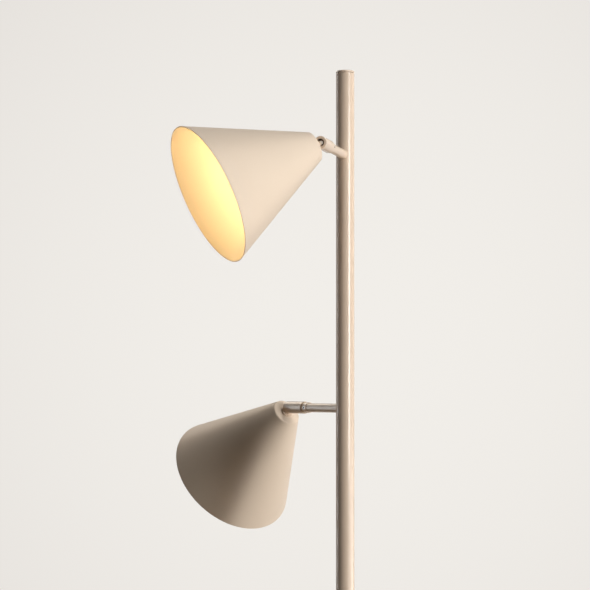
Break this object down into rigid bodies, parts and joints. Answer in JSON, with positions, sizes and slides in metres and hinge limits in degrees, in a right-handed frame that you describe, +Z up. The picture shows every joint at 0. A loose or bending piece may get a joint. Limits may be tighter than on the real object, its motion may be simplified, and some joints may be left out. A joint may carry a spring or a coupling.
{
  "type": "two-head floor lamp",
  "caption": "Floor lamp with a weighted round foot, a slim straight pole and cone shades on short side arms that swivel and tilt.",
  "frame": {"origin": "on the floor, at the centre of the foot pad's underside, under the pole's axis", "axes": "+Z up along the pole; -Y is the front, towards which the upper arm points; +X is to the right seen from the front"},
  "size_m": [0.3225, 0.4586, 1.5],
  "materials": {
    "tube_paint": "the same beige lacquer as the shades, smoother and semi-gloss, on steel",
    "shade_paint": "matte beige lacquer on spun steel sheet",
    "zinc_steel": "bright zinc plating",
    "cast_iron": "as cast, dark primer",
    "pad_rubber": "dense black foam rubber",
    "black_plastic": "fine matte moulding",
    "seat_plastic": "natural nylon",
    "brass": "turned",
    "nickel": "bright nickel",
    "lead_sheath": "smooth translucent sheath",
    "bulb_plastic": "smooth white moulding",
    "bulb_diffuser": "opal, lit warm white"
  },
  "bodies": {
    "root": {"base_pad": "pad_rubber", "base_weight": "cast_iron", "base_cover": "tube_paint", "base_stud_tube": "zinc_steel", "base_washer": "zinc_steel", "base_nut": "zinc_steel", "cable_gland": "black_plastic", "terminal_block": "black_plastic", "terminal_screws": "zinc_steel", "pole_foot": "tube_paint", "pole_lower": "tube_paint", "pole_upper": "tube_paint", "pole_joiner": "zinc_steel", "pole_cap": "tube_paint", "upper_arm": "tube_paint", "upper_arm_anchor": "zinc_steel", "upper_arm_collar": "tube_paint", "upper_collar_screw": "zinc_steel", "upper_snap_ring": "zinc_steel", "upper_pole_lead": "lead_sheath", "lower_arm": "tube_paint", "lower_arm_anchor": "zinc_steel", "lower_arm_collar": "tube_paint", "lower_collar_screw": "zinc_steel", "lower_snap_ring": "zinc_steel", "lower_pole_lead": "lead_sheath"},
    "upper_knuckle": {"upper_barrel": "tube_paint", "upper_barrel_bush": "brass", "upper_ball_seat": "seat_plastic", "upper_seat_spring": "zinc_steel"},
    "upper_head": {"upper_ball_stud": "tube_paint", "upper_shade": "shade_paint", "upper_shade_washer": "zinc_steel", "upper_shade_nut": "zinc_steel", "upper_holder_cap": "black_plastic", "upper_holder_body": "black_plastic", "upper_holder_sleeve": "nickel", "upper_holder_contact": "brass", "upper_bulb_tip": "brass", "upper_bulb_cap": "nickel", "upper_bulb_shell": "bulb_plastic", "upper_bulb_globe": "bulb_diffuser", "upper_head_lead": "lead_sheath"},
    "lower_knuckle": {"lower_barrel": "tube_paint", "lower_barrel_bush": "brass", "lower_ball_seat": "seat_plastic", "lower_seat_spring": "zinc_steel"},
    "lower_head": {"lower_ball_stud": "tube_paint", "lower_shade": "shade_paint", "lower_shade_washer": "zinc_steel", "lower_shade_nut": "zinc_steel", "lower_holder_cap": "black_plastic", "lower_holder_body": "black_plastic", "lower_holder_sleeve": "nickel", "lower_holder_contact": "brass", "lower_bulb_tip": "brass", "lower_bulb_cap": "nickel", "lower_bulb_shell": "bulb_plastic", "lower_bulb_globe": "bulb_diffuser", "lower_head_lead": "lead_sheath"}
  },
  "joints": [
    {"name": "upper_swivel", "type": "hinge", "parent": "root", "child": "upper_knuckle", "pos_m": [-0.02704, -0.10662, 1.4071], "axis": [-0.2458, -0.9693, 0], "range_deg": [-165, 165]},
    {"name": "upper_tilt", "type": "hinge", "parent": "upper_knuckle", "child": "upper_head", "pos_m": [-0.02704, -0.10662, 1.4071], "axis": [0.4798, -0.1217, -0.8689], "range_deg": [-58.56, 31.44]},
    {"name": "lower_swivel", "type": "hinge", "parent": "root", "child": "lower_knuckle", "pos_m": [-0.05914, 0.09275, 1.1319], "axis": [-0.5376, 0.8432, 0], "range_deg": [-165, 165]},
    {"name": "lower_tilt", "type": "hinge", "parent": "lower_knuckle", "child": "lower_head", "pos_m": [-0.05914, 0.09275, 1.1319], "axis": [-0.8346, -0.5321, 0.1421], "range_deg": [-36.36, 53.64]}
  ]
}
